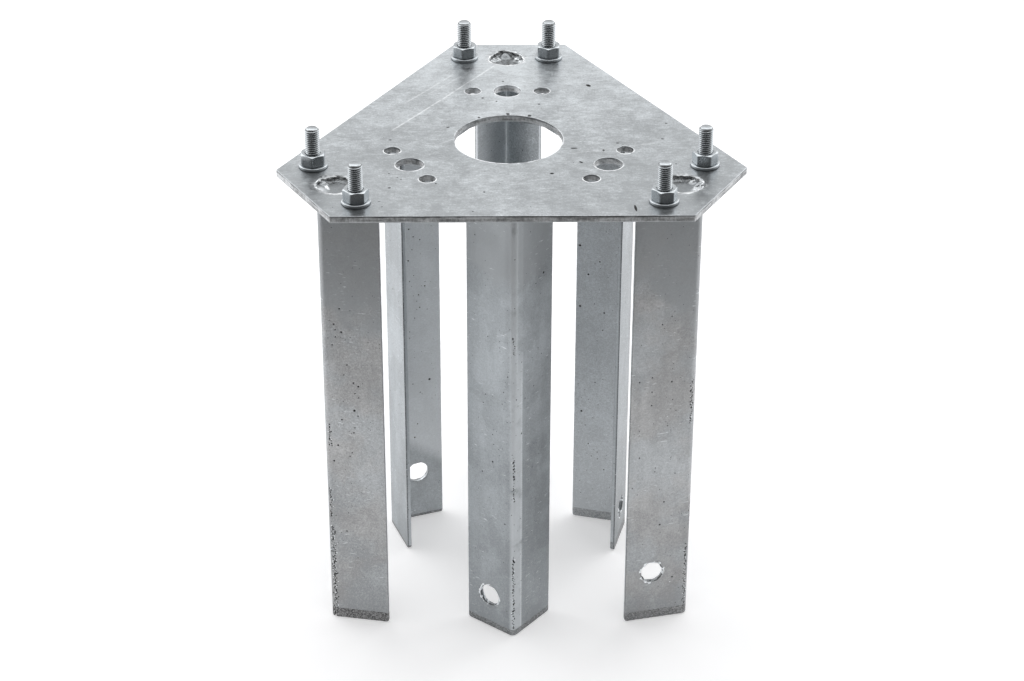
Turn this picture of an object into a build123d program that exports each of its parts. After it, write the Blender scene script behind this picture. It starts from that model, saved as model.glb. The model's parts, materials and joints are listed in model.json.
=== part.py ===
"""Base of a triangular lattice mast: a flat plate on six folded steel legs, with six upright bolts.

Millimetres, +Z up. The origin is the centre of the plate's top face, on the mast's axis. One long
side of the plate faces -Y and one cut-off corner points to +Y. The legs stand on the floor below.
"""

import os
from math import cos, radians, sin, sqrt, tan

from build123d import *

os.makedirs("parts", exist_ok=True)

# Base plate: a triangle with its corners cut off. Its cuts are a little off the middle of its holes,
# each three by their own shift along X and Y.
plate_thickness = 6
long_side_reach = 137.6
long_sides_shift = (2.7, 0.6)
short_side_reach = 191.7
short_sides_shift = (1.7, -1.7)
short_side_margin = 29.7
plate_corner_round = 1
plate_edge_break = 0.6

# Holes in the plate
centre_hole = 90
socket_reach = 93.3
socket_hole = 23
socket_side_hole = 13.5
socket_side_offset = 29.6
hole_edge_break = 0.5
plug_hole = 30
plug_raggedness = 0.04

# Legs: steel strip folded once along its length
leg_height = 414
flange_width = 50
leg_gauge = 4
bend_radius = 5
long_side_margin = 14.6
foot_hole = 20
foot_hole_offset = 26.5
low_hole_height = 33
high_hole_height = 49
low_hole_legs = ("front_side", "right_side")
split_leg = "left_corner"
split_height = 7
split_width = 2.5
split_turn = 25

# Fillet weld inside each leg, under the plate, and the pool that closes each corner's plug hole
weld_size = 3.5
weld_end_gap = 3
plug_depth = 1.5

# M12 bolts with plain washers and hexagon nuts
bolt_offset = 37
bolt_diameter = 12
bolt_length = 40
bolt_end_chamfer = 1.3
bolt_head_height = 7.5
bolt_head_gap = 4
hexagon_width = 19
crown_diameter = 18
crown_slope = 30
nut_height = 10
nut_clearance = 0.2
washer_diameter = 24
washer_thickness = 2.5
washer_clearance = 1
plate_hole_clearance = 1.5

# Places that follow from these sizes. A corner leg's flange runs past the head of the bolt beside it.
bolt_reach = short_side_reach - short_side_margin
plug_reach = bolt_reach
corner_leg_reach = bolt_reach + bolt_offset - sqrt(2) * (hexagon_width / 2 + bolt_head_gap)
side_leg_reach = long_side_reach - long_side_margin

# Directions of the plate's corners from the mast's axis, counterclockwise from +X
corners = {"back": 90, "left": 210, "right": 330}

# Each leg's direction and reach, how far it was welded out of true (moved round the axis and turned on
# the spot, both counterclockwise), how far its fold lies off the middle of the strip, and how much
# narrower its flanges are than the others
legs = {
    "back_corner": (90, corner_leg_reach, 0, 0, 2, 8),
    "left_corner": (210, corner_leg_reach, -2, 4, -1.5, 0),
    "right_corner": (330, corner_leg_reach, 3, -2, 7, 0),
    "front_side": (270, side_leg_reach, 0, 6, 0, 0),
    "right_side": (30, side_leg_reach, -7, 0, 0, 0),
    "left_side": (150, side_leg_reach, 0, 5, 0, 0),
}

# Each bolt's corner, its side of that corner (counterclockwise is 1) and how far its nut is turned
studs = {
    "back_left": ("back", 1, 22),
    "back_right": ("back", -1, 27),
    "left_front": ("left", 1, 10),
    "left_rear": ("left", -1, 30),
    "right_front": ("right", -1, 10),
    "right_rear": ("right", 1, 50),
}


def ragged_outline(turn):
    """Rim of one flame-cut plug hole, at the origin: a ring of shallow arcs that meet at burrs."""
    rim = []
    for step in range(0, 360, 30):
        lobes = cos(radians(3 * step + turn)) + cos(radians(5 * step - 2 * turn))
        radius = plug_hole / 2 * (1 + plug_raggedness * lobes)
        rim.append((radius * cos(radians(step)), radius * sin(radians(step))))
    with BuildSketch() as outline:
        with BuildLine():
            for first in range(0, len(rim), 2):
                ThreePointArc(rim[first], rim[first + 1], rim[(first + 2) % len(rim)])
        make_face()
    return outline.sketch


# Base plate
with BuildPart() as base_plate:
    with BuildSketch(Plane.XY.offset(-plate_thickness)):
        with Locations(long_sides_shift):
            RegularPolygon(long_side_reach, 3, major_radius=False, rotation=90)
        with Locations(short_sides_shift):
            RegularPolygon(short_side_reach, 3, False, rotation=270, mode=Mode.INTERSECT)
        fillet(vertices(), plate_corner_round)
    extrude(amount=plate_thickness)
    chamfer(faces().filter_by(Axis.Z).edges(), plate_edge_break)

    Hole(centre_hole / 2)
    with PolarLocations(socket_reach, 3, start_angle=90):
        Hole(socket_hole / 2)
        with Locations((0, socket_side_offset), (0, -socket_side_offset)):
            Hole(socket_side_hole / 2)
    rims = edges().filter_by(GeomType.CIRCLE).filter_by(lambda edge: edge.is_closed)
    chamfer(rims.filter_by_position(Axis.Z, 0, 0), hole_edge_break)
    with PolarLocations(bolt_reach, 3, start_angle=90):
        with Locations((0, bolt_offset), (0, -bolt_offset)):
            Hole((bolt_diameter + plate_hole_clearance) / 2)

    with BuildSketch():
        for angle in corners.values():
            with PolarLocations(plug_reach, 1, start_angle=angle):
                add(ragged_outline(angle))
    extrude(amount=-plate_thickness, mode=Mode.SUBTRACT)

base_plate.part.label = "base_plate"
export_step(base_plate.part, "parts/base_plate.step")


def bend_plane(name, height):
    """Plane at a leg's outer bend line, with one flange along its X and the other along its Y."""
    angle, reach, move, turn, fold, narrower = legs[name]
    opening = flange_width / sqrt(2)
    true = Location((0, 0, height), (0, 0, angle)) * Location((reach - opening, move, 0))
    bend = true * Location((0, 0, 0), (0, 0, turn)) * Location((opening, 0, 0), (0, 0, 135))
    return Plane(bend)


def make_leg(name, hole_height):
    """One folded leg from the plate's underside to the floor."""
    foot = bend_plane(name, -plate_thickness - leg_height)
    fold, narrower = legs[name][4:]
    width = flange_width - narrower
    with BuildPart() as leg:
        with BuildSketch(foot):
            with BuildLine():
                ends = ((width - fold, 0), (0, width + fold))
                FilletPolyline(ends[0], (0, 0), ends[1], radius=bend_radius)
                offset(amount=leg_gauge, side=Side.RIGHT)
            make_face()
        extrude(amount=leg_height)

        # The foot's hole goes square through the clockwise flange
        with BuildSketch(Plane(foot.origin, x_dir=foot.y_dir, z_dir=foot.x_dir)):
            with Locations((foot_hole_offset + fold, hole_height)):
                Circle(foot_hole / 2)
        extrude(amount=leg_gauge, mode=Mode.SUBTRACT)

        if name == split_leg:
            # The bend has cracked open at the foot
            across = foot.location * Location((bend_radius, bend_radius, 0), (0, 0, split_turn - 45))
            outward = across * Location((0, 0, 0), (90, 0, 0))
            with BuildSketch(Plane(outward)):
                with BuildLine():
                    half = split_width / 2
                    Polyline((-half, 0), (0, split_height), (half, 0), close=True)
                make_face()
            extrude(amount=2 * bend_radius, mode=Mode.SUBTRACT)

    leg.part.label = f"leg_{name}"
    export_step(leg.part, f"parts/leg_{name}.step")


for name in legs:
    make_leg(name, low_hole_height if name in low_hole_legs else high_hole_height)


def make_weld(name):
    """The fillet weld inside one leg's fold, and the plug weld over the end of a corner leg."""
    seam = bend_plane(name, -plate_thickness)
    angle, reach, move, turn, fold, narrower = legs[name]
    first_run = flange_width - narrower - fold - weld_end_gap
    second_run = flange_width - narrower + fold - weld_end_gap
    with BuildPart() as weld:
        with BuildLine(seam) as path:
            Polyline((first_run, leg_gauge), (leg_gauge, leg_gauge), (leg_gauge, second_run))
        with BuildSketch(Plane(path.line @ 0, x_dir=seam.y_dir, z_dir=-seam.x_dir)):
            with BuildLine():
                Polyline((0, 0), (weld_size, 0), (0, weld_size), close=True)
            make_face()
        sweep(path=path.line, transition=Transition.RIGHT)
        # The fold's inner round keeps its metal
        with BuildSketch(seam):
            with BuildLine():
                FilletPolyline(
                    (first_run, leg_gauge),
                    (leg_gauge, leg_gauge),
                    (leg_gauge, second_run),
                    radius=bend_radius - leg_gauge,
                )
                Polyline((leg_gauge, second_run), (first_run, second_run), (first_run, leg_gauge))
            make_face()
        extrude(amount=-weld_size, mode=Mode.INTERSECT)

        if "corner" in name:
            with BuildSketch(Plane.XY.offset(-plate_thickness)):
                with PolarLocations(plug_reach, 1, start_angle=angle):
                    add(ragged_outline(angle))
            extrude(amount=plug_depth)

    weld.part.label = f"weld_{name}"
    export_step(weld.part, f"parts/weld_{name}.step")


for name in legs:
    make_weld(name)


def crown_profile(base, crown):
    """Half section that turns the corners off a hexagon at its crown end."""
    reach = hexagon_width / sqrt(3) + 1
    fall = (reach - crown_diameter / 2) * tan(radians(crown_slope))
    shoulder = crown - fall if crown > base else crown + fall
    with BuildSketch(Plane.XZ) as profile:
        with BuildLine():
            Polyline(
                (0, base),
                (reach, base),
                (reach, shoulder),
                (crown_diameter / 2, crown),
                (0, crown),
                close=True,
            )
        make_face()
    return profile.sketch


# Hexagon bolt put up through the plate, its head against the underside
head_seat = Plane.XY.offset(-plate_thickness)
with BuildPart() as bolt:
    with BuildSketch(head_seat):
        RegularPolygon(hexagon_width / 2, 6, major_radius=False)
    extrude(amount=-bolt_head_height)
    crown = crown_profile(-plate_thickness, -plate_thickness - bolt_head_height)
    revolve(crown, axis=Axis.Z, mode=Mode.INTERSECT)
    with BuildSketch(head_seat):
        Circle(bolt_diameter / 2)
    extrude(amount=bolt_length)
    chamfer(edges().sort_by(Axis.Z)[-1], bolt_end_chamfer)


def stud_place(corner, side):
    """Where one bolt comes through the plate's top."""
    angle = radians(corners[corner])
    x = bolt_reach * cos(angle) - side * bolt_offset * sin(angle)
    y = bolt_reach * sin(angle) + side * bolt_offset * cos(angle)
    return x, y


# Six such bolts. A flat of each head lies along the leg's flange beside it, so that it can't turn.
with BuildPart() as bolts:
    for corner, side, nut_turn in studs.values():
        angle, reach, move, turn, fold, narrower = legs[f"{corner}_corner"]
        head_turn = angle + turn + side * 45 - 30
        with Locations(Location((*stud_place(corner, side), 0), (0, 0, head_turn))):
            add(bolt.part)

bolts.part.label = "bolts"
export_step(bolts.part, "parts/bolts.step")

# Hexagon nut, crowned at both ends
with BuildPart() as nut:
    with BuildSketch():
        RegularPolygon(hexagon_width / 2, 6, major_radius=False)
    extrude(amount=nut_height)
    for base, crown in ((0, nut_height), (nut_height, 0)):
        revolve(crown_profile(base, crown), axis=Axis.Z, mode=Mode.INTERSECT)
    with BuildSketch():
        Circle((bolt_diameter + nut_clearance) / 2)
    extrude(amount=nut_height, mode=Mode.SUBTRACT)

# Six such nuts, each left where the spanner stopped
with BuildPart() as nuts:
    for corner, side, nut_turn in studs.values():
        with Locations(Location((*stud_place(corner, side), washer_thickness), (0, 0, nut_turn))):
            add(nut.part)

nuts.part.label = "nuts"
export_step(nuts.part, "parts/nuts.step")

# A plain washer on the plate under each nut
for place, (corner, side, nut_turn) in studs.items():
    with BuildPart() as washer:
        with BuildSketch():
            with Locations(stud_place(corner, side)):
                Circle(washer_diameter / 2)
                Circle((bolt_diameter + washer_clearance) / 2, mode=Mode.SUBTRACT)
        extrude(amount=washer_thickness)

    washer.part.label = f"washer_{place}"
    export_step(washer.part, f"parts/washer_{place}.step")
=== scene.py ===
import json
from math import cos, pi, radians, sin, sqrt, tan

import bpy
import numpy as np
from mathutils import Matrix, Vector, kdtree, noise
from mathutils.geometry import delaunay_2d_cdt


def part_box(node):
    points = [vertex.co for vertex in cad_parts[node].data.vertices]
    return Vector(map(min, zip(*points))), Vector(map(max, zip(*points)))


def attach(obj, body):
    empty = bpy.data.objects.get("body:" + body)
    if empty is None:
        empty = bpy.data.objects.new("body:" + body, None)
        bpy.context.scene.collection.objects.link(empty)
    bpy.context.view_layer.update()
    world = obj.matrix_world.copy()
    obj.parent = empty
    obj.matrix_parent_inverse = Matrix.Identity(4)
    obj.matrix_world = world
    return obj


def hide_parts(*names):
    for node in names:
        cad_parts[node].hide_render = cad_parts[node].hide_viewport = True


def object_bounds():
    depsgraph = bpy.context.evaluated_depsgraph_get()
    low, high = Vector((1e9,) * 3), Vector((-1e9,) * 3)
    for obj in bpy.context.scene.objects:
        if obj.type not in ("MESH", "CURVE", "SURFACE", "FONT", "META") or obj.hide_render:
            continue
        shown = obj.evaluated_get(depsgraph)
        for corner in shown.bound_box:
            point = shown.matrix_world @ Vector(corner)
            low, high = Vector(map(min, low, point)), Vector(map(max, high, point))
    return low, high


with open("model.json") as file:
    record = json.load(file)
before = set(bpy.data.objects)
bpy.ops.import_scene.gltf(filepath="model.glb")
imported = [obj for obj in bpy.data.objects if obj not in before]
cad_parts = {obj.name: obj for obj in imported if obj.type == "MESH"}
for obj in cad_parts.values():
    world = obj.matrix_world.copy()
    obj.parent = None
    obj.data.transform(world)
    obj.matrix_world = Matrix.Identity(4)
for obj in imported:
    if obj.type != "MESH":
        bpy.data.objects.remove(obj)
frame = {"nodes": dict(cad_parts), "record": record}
cad_box = [list(corner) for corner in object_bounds()]
mm = 0.001


# Base plate
# Six millimetre steel, flame-cut to a triangle without corners and hot-dip galvanised after that.
# The cut edges keep the flame's ripples, and the plug holes over the corner legs are ragged.
plate_thickness = 6
side_reach, side_shift = 137.6, Vector((2.7, 0.6))
corner_reach, corner_shift, corner_round = 191.7, Vector((1.7, -1.7)), 1
centre_hole, socket_reach, socket_hole = 90, 93.3, 23
side_hole, side_hole_offset = 13.5, 29.6
stud_reach, stud_offset, stud_hole = 162, 37, 13.5
plug_hole, plug_raggedness = 30, 0.04
corner_angles = {"back": 90, "left": 210, "right": 330}


def towards(angle, along, across=0):
    """A point seen from the mast's axis: so far along a direction, and so far to its left."""
    out = Vector((cos(radians(angle)), sin(radians(angle))))
    return out * along + Vector((-out.y, out.x)) * across


def closed_line(corners, rounds, step):
    """A closed line through its corners, each turned with its own round, cut into even steps."""
    line = []
    for i, here in enumerate(corners):
        before, after = corners[i - 1], corners[(i + 1) % len(corners)]
        into, out = (here - before).normalized(), (after - here).normalized()
        leave, reach = here + out * rounds[i], here - into * rounds[i]
        for part in (0, 0.25, 0.5, 0.75) if rounds[i] else (0,):
            line.append(reach * (1 - part) ** 2 + here * 2 * part * (1 - part) + leave * part**2)
        stop = after - out * rounds[(i + 1) % len(corners)]
        pieces = max(1, round((stop - leave).length / step))
        first = 0 if rounds[i] else 1
        line += [leave.lerp(stop, piece / pieces) for piece in range(first, pieces)]
    return line


def rough(point, size, seed=0):
    """Smooth chance between -1 and 1 that changes over about a size."""
    return noise.noise(Vector((point[0] / size, point[1] / size, seed)))


def round_hole(centre, diameter, step, ripple=0.0, ripple_size=1.0, shape=None):
    """A hole's rim, clockwise, with a flame's ripples if it has any."""
    count = round(pi * diameter / step)
    rim = []
    for i in range(count):
        angle = -2 * pi * i / count
        way = Vector((cos(angle), sin(angle)))
        radius = diameter / 2 * (shape(angle) if shape else 1)
        radius += ripple * rough(way * radius, ripple_size, diameter)
        rim.append(centre + way * radius)
    return rim


def ramp(values, none, full):
    """0 where values are at none, 1 where they are at full, and evenly in between."""
    return np.clip((values - none) / (full - none), 0, 1)


def smooth_mesh(name, spots, polygons):
    """A smooth mesh through points in millimetres."""
    mesh = bpy.data.meshes.new(name)
    mesh.from_pydata([[c * mm for c in spot] for spot in spots], [], polygons)
    mesh.polygons.foreach_set("use_smooth", [True] * len(mesh.polygons))
    return mesh


def note(mesh, key, values):
    """Keeps a value at each point of a mesh, for its material to read."""
    layer = mesh.attributes.new(key, "FLOAT", "POINT")
    layer.data.foreach_set("value", np.asarray(values, np.float32))


def placed(name, data):
    """Puts a mesh, a light or a camera in the scene."""
    thing = bpy.data.objects.new(name, data)
    bpy.context.scene.collection.objects.link(thing)
    return thing


class Cut:
    """A piece cut from sheet, drawn flat: one outline and its holes, each with its arris and lumps."""

    # The arris in section: shares of its size in from the wall and down from the face
    turns = [(1.6, 0), (1, 0), (0.5, 0.134), (0.134, 0.5), (0, 1)]

    def __init__(self, thickness):
        self.thickness, self.rims, self.clear = thickness, [], 0

    def rim(self, line, arris, lumps=0.0):
        """Adds the outline, or after it a hole. An arris is one size or one for each point."""
        self.rims.append((np.array(line), np.broadcast_to(arris, len(line)), lumps))
        self.clear = max(self.clear, self.turns[0][0] * np.max(arris) + 1.2)

    def filled(self, areas):
        """Inner points clear of the rims, by areas of (low u, low v, high u, high v, spacing)."""
        edge = kdtree.KDTree(sum(len(line) for line, _, _ in self.rims))
        for i, point in enumerate(np.concatenate([line for line, _, _ in self.rims])):
            edge.insert((*point, 0), i)
        edge.balance()
        found = []
        for low_u, low_v, high_u, high_v, size in areas:
            rows = np.arange(low_v + size / 2, high_v, size * 0.866)
            for number, v in enumerate(rows):
                for u in np.arange(low_u + size * (0.25 + 0.5 * (number % 2)), high_u, size):
                    if edge.find((u, v, 0))[2] > max(size * 0.75, self.clear):
                        found.append((u, v))
        found = np.array(found).reshape(-1, 2)
        return found[self.inside(found)]

    def inside(self, points):
        """Which points lie within the outline and in none of the holes."""
        inside = np.zeros(len(points), bool)
        for line, _, _ in self.rims:
            ahead = np.roll(line, -1, axis=0)
            for (u0, v0), (u1, v1) in zip(line, ahead):
                level = (points[:, 1] < v0) != (points[:, 1] < v1)
                slope = (u1 - u0) / (v1 - v0) if v1 != v0 else 0
                inside ^= level & (points[:, 0] < u0 + (points[:, 1] - v0) * slope)
        return inside

    def levels(self, arris, apart):
        """A wall's rows from the upper face to the lower: how far in from the rim, and how far down."""
        around = self.turns[0][0] * arris + apart
        upper = [(near * arris, down * arris) for near, down in self.turns]
        middle = [(0 * arris, arris + part * (self.thickness - 2 * arris))
                  for part in (0.25, 0.5, 0.75)]
        lower = [(near, self.thickness - down) for near, down in upper[::-1]]
        return [(around, 0 * arris), *upper, *middle, *lower, (around, 0 * arris + self.thickness)]

    def wall(self, line, arris, lumps, apart):
        """A rim's wall, row by row, with the depth of each point."""
        ahead = np.roll(line, -1, axis=0) - np.roll(line, 1, axis=0)
        inward = np.stack([-ahead[:, 1], ahead[:, 0]], 1)

        # A lumpy rim's ways in are evened out, so that its inner rows don't cross
        for _ in range(6 if lumps else 0):
            inward = inward + np.roll(inward, 1, axis=0) + np.roll(inward, -1, axis=0)
        inward /= np.linalg.norm(inward, axis=1, keepdims=True)
        for near, down in self.levels(arris, apart):
            where = line + inward * near[:, None]
            if lumps:
                bulge = [lumps * (0.4 + rough((*point, depth)[::2], 2.6, point[1] / 2.6))
                         for point, depth in zip(where, down)]
                middle = np.clip(down, 0, 1) * np.clip(self.thickness - down, 0, 1)
                where = where - inward * (np.array(bulge) * middle)[:, None]
            yield where, down

    def faces(self, name, flat, upper, lower, sizes):
        """Triangles for the upper and the lower face, between the rims and the inner points."""
        edges, first = [], 0
        for size in sizes:
            edges += [(first + i, first + (i + 1) % size) for i in range(size)]
            first += size
        points = [Vector(point) for point in flat[upper]]
        made, _, faces, _, _, _ = delaunay_2d_cdt(points, edges, [], 2, 1e-6)
        if len(made) != len(points):
            raise ValueError(f"{name}: two rims touch, or an inner point lies on a rim")
        polygons = []
        middles = np.array([sum(flat[upper[i]] for i in face) / 3 for face in faces])
        for face, solid in zip(faces, self.inside(middles)):
            if not solid:
                continue
            a, b, c = (flat[upper[i]] for i in face)
            if (b[0] - a[0]) * (c[1] - a[1]) < (b[1] - a[1]) * (c[0] - a[0]):
                face = face[::-1]
            polygons.append([int(upper[i]) for i in face])
            polygons.append([int(lower[i]) for i in face[::-1]])
        return polygons

    def mesh(self, name, inner, place, marks):
        """The solid piece. place gives a flat point and depth its spot, marks its paint values."""
        flat, depths, walls, count = [], [], [], 0
        for number, (line, arris, lumps) in enumerate(self.rims):
            walls.append([])
            for where, down in self.wall(line, arris, lumps, 0.9 if number and not lumps else 0.4):
                walls[-1].append(count + np.arange(len(line)))
                count += len(line)
                flat.append(where)
                depths.append(down)
        inner_upper = count + np.arange(len(inner))
        upper = np.concatenate([rows[0] for rows in walls] + [inner_upper])
        lower = np.concatenate([rows[-1] for rows in walls] + [inner_upper + len(inner)])
        flat = np.concatenate([*flat, inner, inner])
        depths = np.concatenate([*depths, np.zeros(len(inner)), np.full(len(inner), self.thickness)])
        polygons = self.faces(name, flat, upper, lower, [len(rows[0]) for rows in walls])
        for rows in walls:
            for above, below in zip(rows, rows[1:]):
                size = len(above)
                for i in range(size):
                    j = (i + 1) % size
                    polygons.append([int(above[i]), int(below[i]), int(below[j]), int(above[j])])
        spots = [place(u, v, depth) for (u, v), depth in zip(flat, depths)]
        mesh = smooth_mesh(name, spots, polygons)
        mesh.validate()
        for key, values in marks(flat, depths).items():
            note(mesh, key, values)
        return placed(name, mesh)


def crossing(angle, side):
    """Where a corner's cut meets the long side before (-1) or after (1) it."""
    cut, edge = towards(angle, 1), towards(angle + side * 60, 1)
    reach, side_reached = corner_reach + corner_shift.dot(cut), side_reach + side_shift.dot(edge)
    turn = cut.x * edge.y - cut.y * edge.x
    return Vector((reach * edge.y - side_reached * cut.y, side_reached * cut.x - reach * edge.x)) / turn


corner_points = [crossing(angle, side) for angle in corner_angles.values() for side in (-1, 1)]

# Dents in the top: place along X and Y, length and width, and the way it lies in degrees
dent_reach = 6
dents = [
    (69.9, 103.5, 4.6, 2.9, -57), (-50.2, 22.3, 2.2, 1.6, 10), (34.3, -63.8, 2.6, 2.0, 0),
    (26.6, 66.5, 1.6, 1.2, 0), (53.6, -17.8, 4.6, 1.6, 5), (58.5, -43.5, 3.2, 1.5, -50),
    (98.7, -124.5, 8.5, 1.6, 95), (89.8, -8.4, 1.6, 1.3, 0), (77.7, -21.7, 1.5, 3.2, 0),
    (132.1, 28.7, 2.0, 1.2, -30), (127.4, -1.0, 2.4, 1.0, 0), (-96, -88, 1.8, 1.4, 20),
    (-20.5, -96, 1.6, 1.2, 0), (-3.6, 112.6, 1.5, 1.2, 0), (-97.7, -1.4, 2.2, 1.0, 0),
    (-21.2, 79, 1.6, 1.3, 0), (-9.5, 72.4, 1.3, 1.2, 0), (-24.4, 40.6, 2.6, 1.8, 30),
    (-0.1, 46.4, 2.2, 1.7, 0), (17.8, 43.0, 2.4, 1.5, -20), (-97.1, -62.9, 1.2, 0.9, 0),
    (-90.1, -70.1, 1.0, 0.8, 0), (-87.1, -73.3, 1.1, 0.8, 0), (-58.9, -81.2, 1.1, 0.9, 0),
    (-103.6, -111.8, 1.8, 0.7, 10), (-101, -120.7, 1.5, 0.7, 20), (-86.1, -49, 1.2, 0.9, 0),
]

# Broad areas that are made lighter or darker: place, radius and how much
areas = [(0, -85, 55, 0.14), (0, 78, 40, 0.12), (0, 150, 40, 0.08), (112, 15, 45, -0.11),
         (-75, 40, 50, -0.07), (72, 25, 40, -0.02)]

# How far the skin stays below the solid's faces, so that no wave stands out of them, how far from a
# plug hole's rim the top sinks and is burnt, and how wide the painted highlight on the rim of the other
# holes is
skin, sunk_reach, burnt_reach, narrow_highlight = 0.12, 6, 5, 0.9

plate = Cut(plate_thickness)
outline = closed_line(corner_points, [corner_round] * 6, step=1.2)
plate.rim([point * (1 - 0.0012 * abs(rough(point, 3, 1))) for point in outline], arris=0.5)
plate.rim(round_hole(Vector((0, 0)), centre_hole, step=0.7, ripple=0.22, ripple_size=0.9), arris=0.5)
plugs, bored = [], [(Vector((0, 0)), centre_hole)]
for angle in corner_angles.values():
    bored.append((towards(angle, socket_reach), socket_hole))
    plate.rim(round_hole(*bored[-1], step=0.9, ripple=0.08, ripple_size=0.9), arris=0.5)
    for side in (-1, 1):
        bored.append((towards(angle, socket_reach, side * side_hole_offset), side_hole))
        plate.rim(round_hole(*bored[-1], step=0.8, ripple=0.05), arris=0.45)
        place = towards(angle, stud_reach, side * stud_offset)
        plate.rim(round_hole(place, stud_hole, step=1.5), arris=0.3)

    def ragged(way, turn=angle):
        """The flame's wavering round a plug hole: a share of the radius for each way."""
        lobes = cos(3 * way + radians(turn)) + cos(5 * way - 2 * radians(turn))
        return 1 + plug_raggedness * lobes

    centre = towards(angle, stud_reach)
    plugs.append((centre, ragged))
    rim = round_hole(centre, plug_hole, step=0.6, ripple=0.5, ripple_size=2.5, shape=ragged)
    lip = [0.9 + 0.9 * max(0, -(point - centre).normalized().y) for point in rim]
    plate.rim(rim, arris=lip, lumps=1.5)


def dent_at(u, v):
    """How deep the nearest dent is at a spot of the plate, 0 to 1."""
    depth = 0
    for x, y, length, width, way in dents:
        along = Vector((u - x, v - y))
        if along.length < dent_reach:
            along.rotate(Matrix.Rotation(radians(-way), 2))
            off = Vector((along.x / length, along.y / width)).length * 1.5
            depth = max(depth, 1 - off**2)
    return depth


def plate_place(u, v, depth):
    """The plate lies flat but for a slight wave. Its top sinks and lumps round the plug holes."""
    if depth > plate_thickness / 2:
        return u, v, -depth
    lift = 0.07 * rough((u, v), 45) + 0.03 * rough((u, v), 9, 3) - 0.3 * dent_at(u, v)
    for centre, _ in plugs:
        off = (Vector((u, v)) - centre).length - plug_hole / 2
        near = max(0, 1 - abs(off) / sunk_reach)
        lift += 0.5 * max(0, near - 0.4) * max(0, rough((u, v), 2.4, 7)) - 0.45 * near**2
    return u, v, -depth + lift - skin


def plate_marks(flat, depths):
    """Loose zinc, burnt metal, dents, cut edges, and a painted highlight on the front of each hole's
    rim.
    """
    ways = [flat - np.array(centre) for centre, _ in plugs]
    near = np.min([np.hypot(*way.T) for way in ways], axis=0)
    ring = ramp(np.abs(near - plug_hole / 2), burnt_reach, 0)
    lumps = np.array([rough(point, 2.4, 7 + depth) for point, depth in zip(flat, depths)])

    # Little loose zinc lies on the far side of a plug hole
    far = ramp(np.max([way[:, 1] * (np.hypot(*way.T) < 22) for way in ways], axis=0), 0, 9)

    # Each hole with its shape, the width of the painted highlight on its rim and how much wider that is
    # at the front
    holes = [(centre, size, lambda turn: 1, narrow_highlight, 0.7) for centre, size in bored]
    holes += [(centre, plug_hole, shape, 1.6, 1.8) for centre, shape in plugs]
    bright, deep = np.zeros(len(flat)), np.full(len(flat), 0.35)
    for centre, size, shape, width, more in holes:
        way = flat - np.array(centre)
        turn = np.arctan2(way[:, 1], way[:, 0])
        off = np.hypot(*way.T) - np.array([size / 2 * shape(angle) for angle in turn])
        # A painted highlight: the rim is lit only on its front side, where its arris would catch the
        # light
        front = np.clip(0.55 - 1.2 * np.sin(turn), 0, 1)
        ran = width + more * np.clip(-np.sin(turn), 0, 1)
        bright = np.maximum(bright, ramp(off, ran, ran - 0.3) * front)
        deep += np.where(off < 2, width - narrow_highlight, 0) * front
    wall = ramp(np.minimum(depths, plate_thickness - depths), deep, deep + 0.3)
    return {
        "zinc": ring * np.clip(lumps * 3, 0, 1) * (1 - 0.8 * far),
        "burnt": ring,
        "dent": [dent_at(*point) if depth < 1 else 0 for point, depth in zip(flat, depths)],
        "wall": wall,
        "bright": bright * (1 - wall),
        "down": depths,
        "area": sum(more * np.exp(-((flat[:, 0] - x) ** 2 + (flat[:, 1] - y) ** 2) / wide**2)
                    for x, y, wide, more in areas),
    }


def square(u, v, half, spacing):
    """An area of points with one spacing round a spot."""
    return u - half, v - half, u + half, v + half, spacing


def outside(points, area):
    """The points that don't lie in an area."""
    low_u, low_v, high_u, high_v, _ = area
    u, v = points.T
    return points[(u <= low_u) | (u >= high_u) | (v <= low_v) | (v >= high_v)]


# Fine points round the plug holes and at the dents, coarse ones elsewhere
whole_plate = (-190, -138, 190, 192, 3.4)
tight = [square(*centre, 24, 1.2) for centre, _ in plugs]
tight += [square(x, y, 5, 0.6) for x, y, _, _, _ in dents]
spots = plate.filled([whole_plate])
for area in tight:
    spots = outside(spots, area)
base_plate = plate.mesh("base_plate_galvanised", np.concatenate([spots, plate.filled(tight)]),
                        plate_place, plate_marks)


class Value:
    """A number in a material that changes over the surface. Arithmetic on it adds Math nodes."""

    def __init__(self, paint, socket):
        self.paint, self.socket = paint, socket

    def math(self, operation, *values):
        """A Math node on some values."""
        sockets = dict(enumerate(values))
        return self.paint.node("ShaderNodeMath", {"operation": operation}, sockets)["Value"]

    def __add__(self, other):
        return self.math("ADD", self, other)

    def __sub__(self, other):
        return self.math("SUBTRACT", self, other)

    def __rsub__(self, other):
        return self.math("SUBTRACT", other, self)

    def __mul__(self, other):
        return self.math("MULTIPLY", self, other)

    __radd__, __rmul__ = __add__, __mul__

    def rise(self, low, high, first=0.0, last=1.0):
        """Goes smoothly from first to last while this goes from low to high."""
        sockets = {"Value": self, "From Min": low, "From Max": high, "To Min": first, "To Max": last}
        return self.paint.node("ShaderNodeMapRange", {"interpolation_type": "SMOOTHSTEP"},
                               sockets)["Result"]

    def swing(self, width):
        """A cloud of 0 to 1, as a swing of a width about 0."""
        return (self - 0.5) * width

    def most(self, other):
        """The larger of this and another."""
        return self.math("MAXIMUM", self, other)

    def size(self):
        """This without its sign."""
        return self.math("ABSOLUTE", self)


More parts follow.
